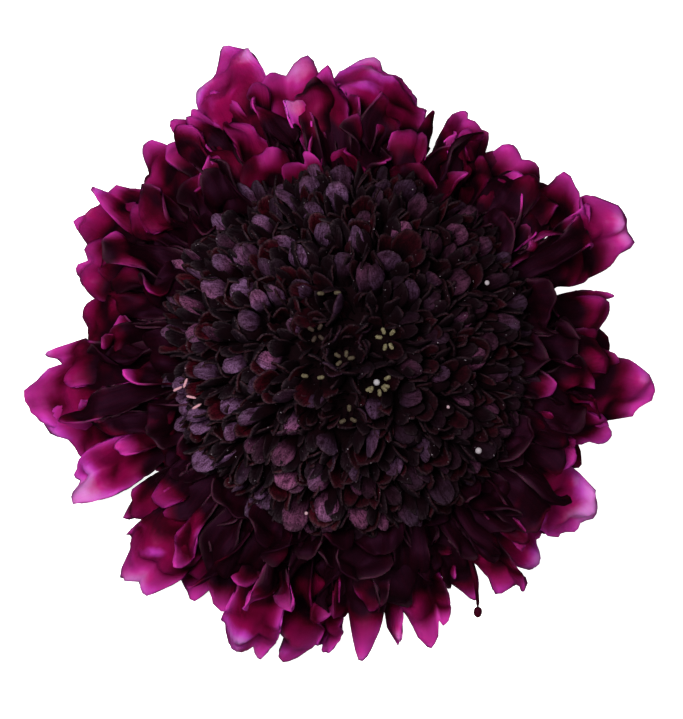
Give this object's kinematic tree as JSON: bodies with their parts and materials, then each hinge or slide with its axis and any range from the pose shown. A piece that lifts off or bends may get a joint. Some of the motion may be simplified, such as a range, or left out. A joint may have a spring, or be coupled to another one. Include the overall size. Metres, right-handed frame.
{
  "type": "scabiosa flower head",
  "caption": "Dark plum pincushion flower head with a magenta ruffled rim, lying face up on its petals and a short cut stub of stalk.",
  "frame": {"origin": "centre of the bounding box at the surface the flower head lies on", "axes": "+Z out of the face of the flower, along its stalk; +X to the right and +Y up as the face is looked at"},
  "size_m": [0.0566, 0.0556, 0.0279],
  "materials": {
    "green": "matt, hairy green",
    "ray_petal": "soft satin petal, magenta",
    "disc_petal": "velvety petal, near-black plum"
  },
  "bodies": {
    "root": {"stalk_and_bracts": "green", "ray_florets": "ray_petal", "disc_florets": "disc_petal"}
  },
  "joints": []
}
